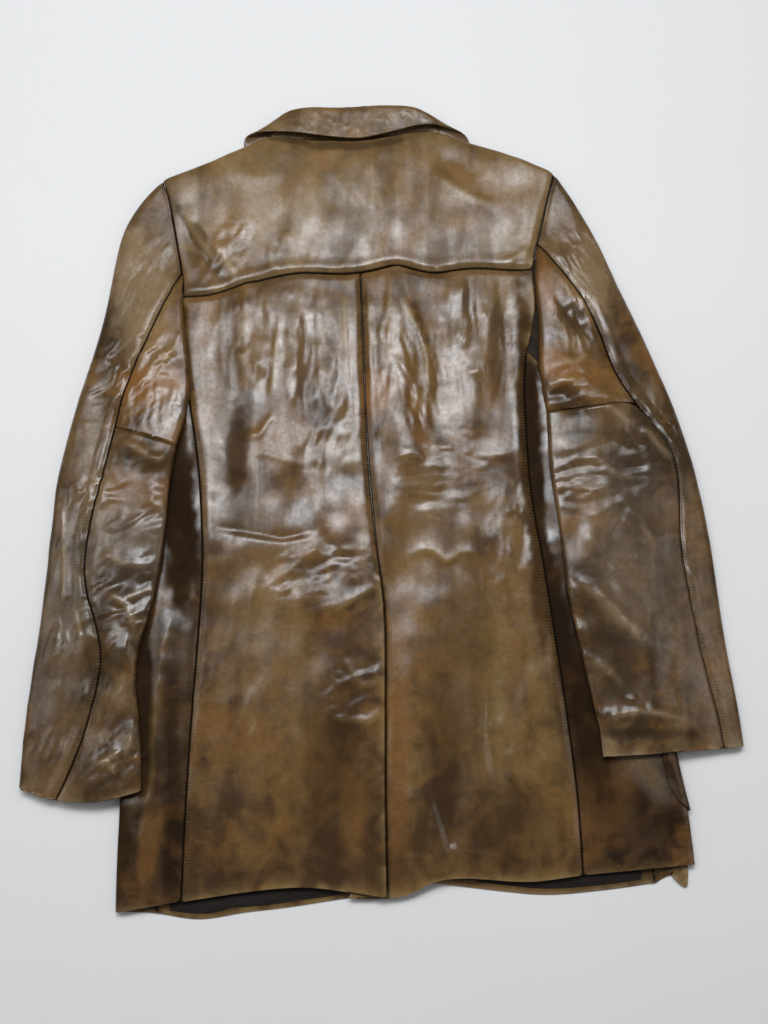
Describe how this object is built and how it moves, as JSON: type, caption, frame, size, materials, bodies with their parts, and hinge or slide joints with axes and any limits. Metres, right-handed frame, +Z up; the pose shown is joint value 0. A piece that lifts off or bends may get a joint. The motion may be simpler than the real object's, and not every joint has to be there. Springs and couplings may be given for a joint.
{
  "type": "worn leather coat",
  "caption": "Three-quarter leather coat laid flat on its front, back up, with sleeves over its sides, a back yoke, a vent and a turned-down collar; worn, creased brown leather.",
  "frame": {"origin": "middle of the coat's outline on the surface it lies on", "axes": "+Z up from the surface through the back, +Y from the hem to the collar, +X to the wearer's right"},
  "size_m": [0.7403, 0.8858, 0.034],
  "materials": {
    "yoke_leather": "olive-tan worn leather, satin",
    "back_leather": "brown worn leather with dark umber patches, glossy",
    "side_leather": "dark brown worn leather, glossy",
    "sleeve_leather": "greyed brown worn leather, glossy",
    "under_sleeve_leather": "rusty brown worn leather, satin",
    "lining": "dark woven lining",
    "button_horn": "dark horn, polished"
  },
  "bodies": {
    "root": {"back_left": "back_leather", "back_right": "back_leather", "button_1": "button_horn", "button_2": "button_horn", "button_3": "button_horn", "collar": "yoke_leather", "front_left": "back_leather", "front_right": "back_leather", "hem_corner_right": "yoke_leather", "lining_left": "lining", "lining_right": "lining", "pocket_left": "side_leather", "pocket_right": "side_leather", "side_left": "side_leather", "side_right": "side_leather", "top_sleeve_left": "sleeve_leather", "top_sleeve_right": "sleeve_leather", "under_sleeve_lower_left": "sleeve_leather", "under_sleeve_lower_right": "sleeve_leather", "under_sleeve_upper_left": "under_sleeve_leather", "under_sleeve_upper_right": "under_sleeve_leather", "vent_underlap": "under_sleeve_leather", "yoke": "yoke_leather"}
  },
  "joints": []
}
